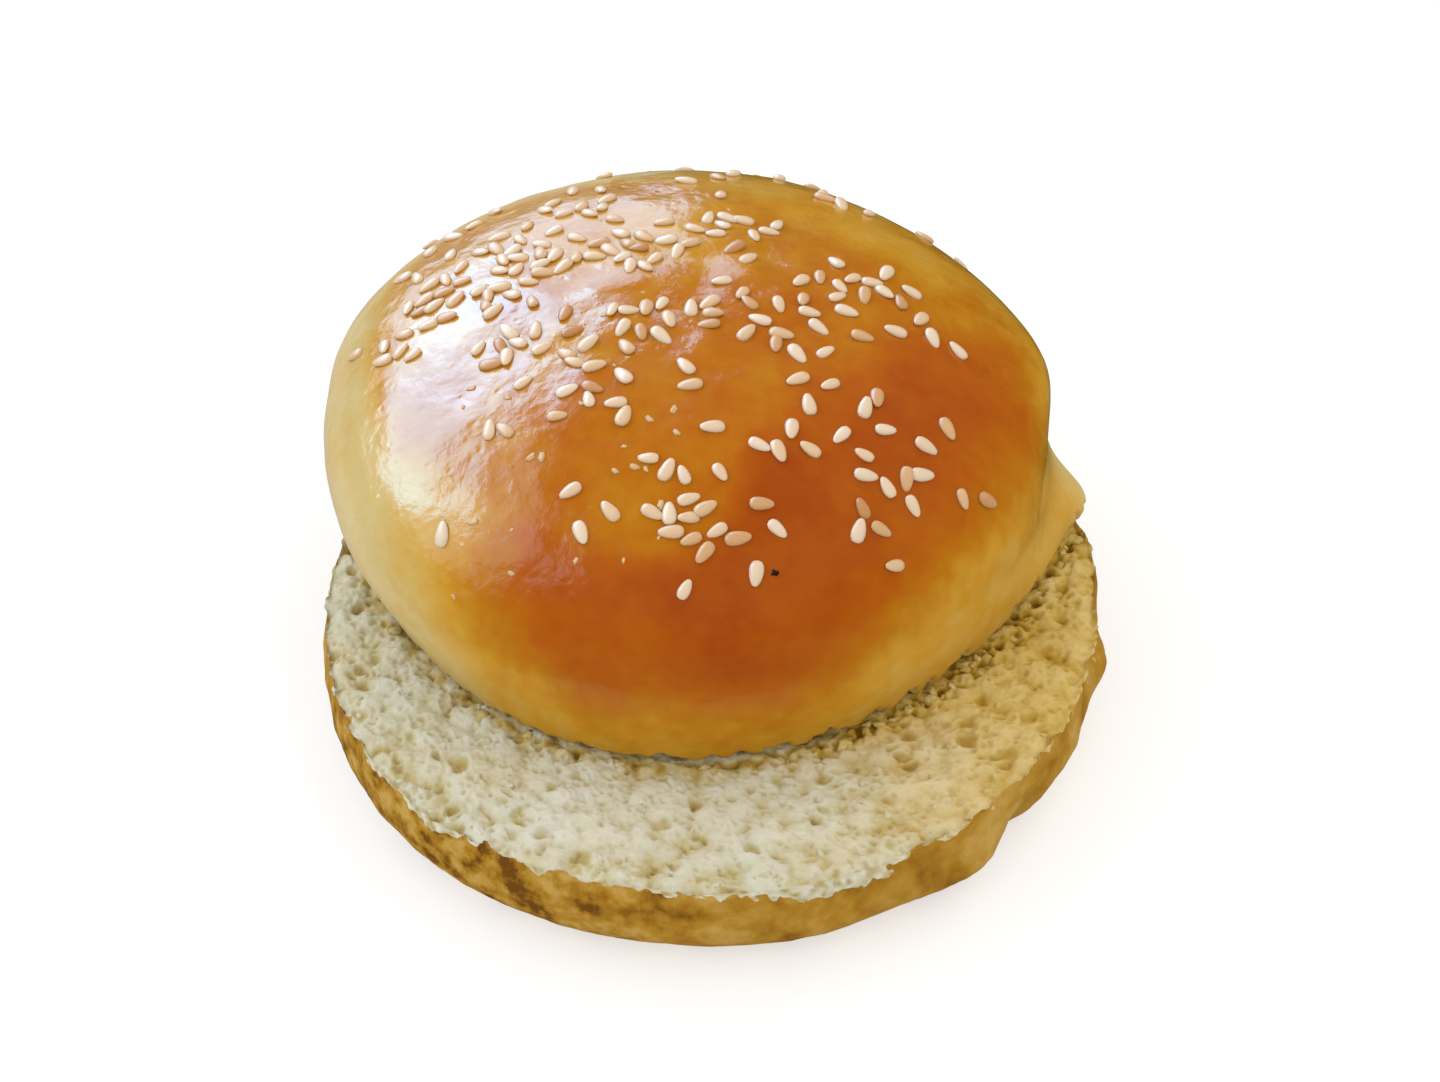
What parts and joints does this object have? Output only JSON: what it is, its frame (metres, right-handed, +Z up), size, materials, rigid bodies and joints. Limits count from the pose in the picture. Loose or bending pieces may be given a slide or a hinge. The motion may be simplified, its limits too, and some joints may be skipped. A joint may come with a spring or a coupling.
{
  "type": "hamburger bun",
  "caption": "Round burger bun cut in two: a glossy domed crown sprinkled with sesame, pushed back on a flat heel so that a crescent of pale cut crumb shows.",
  "frame": {"origin": "middle of the heel's flat base, on the surface that the bun stands on", "axes": "+Z up; the crown is pushed back along +Y, so the crescent of crumb faces -Y"},
  "size_m": [0.1022, 0.1169, 0.0504],
  "materials": {
    "crust": "egg-washed bread crust, glossy brown, paler at the rim",
    "crumb": "matt open crumb with a thin golden crust round the side"
  },
  "bodies": {
    "root": {"bun_crown": "crust", "bun_heel": "crumb"}
  },
  "joints": []
}
